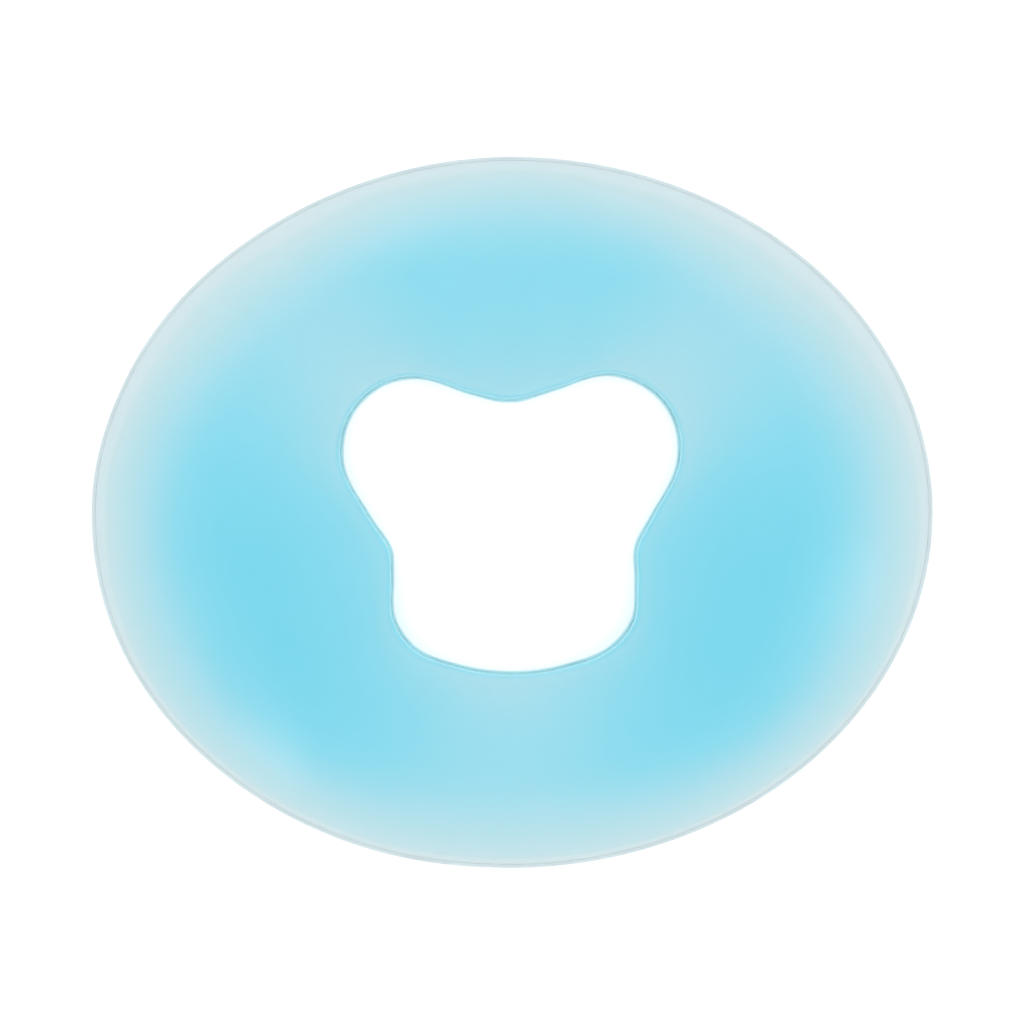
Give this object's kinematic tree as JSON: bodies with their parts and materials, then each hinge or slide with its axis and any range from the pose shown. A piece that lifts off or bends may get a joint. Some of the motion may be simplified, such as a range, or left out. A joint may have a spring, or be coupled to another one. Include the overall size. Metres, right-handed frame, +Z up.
{
  "type": "gel face pillow",
  "caption": "Oval translucent gel pad with a butterfly-shaped face opening, thick over cheeks and forehead, thin at the rim, lying flat on its underside.",
  "frame": {"origin": "centre of the oval outline, on the flat underside", "axes": "+Z up from the underside, +Y towards the forehead end, +X along the longest width"},
  "size_m": [0.29, 0.245, 0.02],
  "materials": {
    "film": "satin translucent film",
    "gel": "soft translucent gel",
    "seam": "satin fused film edge"
  },
  "bodies": {
    "root": {"top_skin": "film", "gel_core": "gel", "base_skin": "film", "outer_seam": "seam", "opening_seam": "seam"}
  },
  "joints": []
}
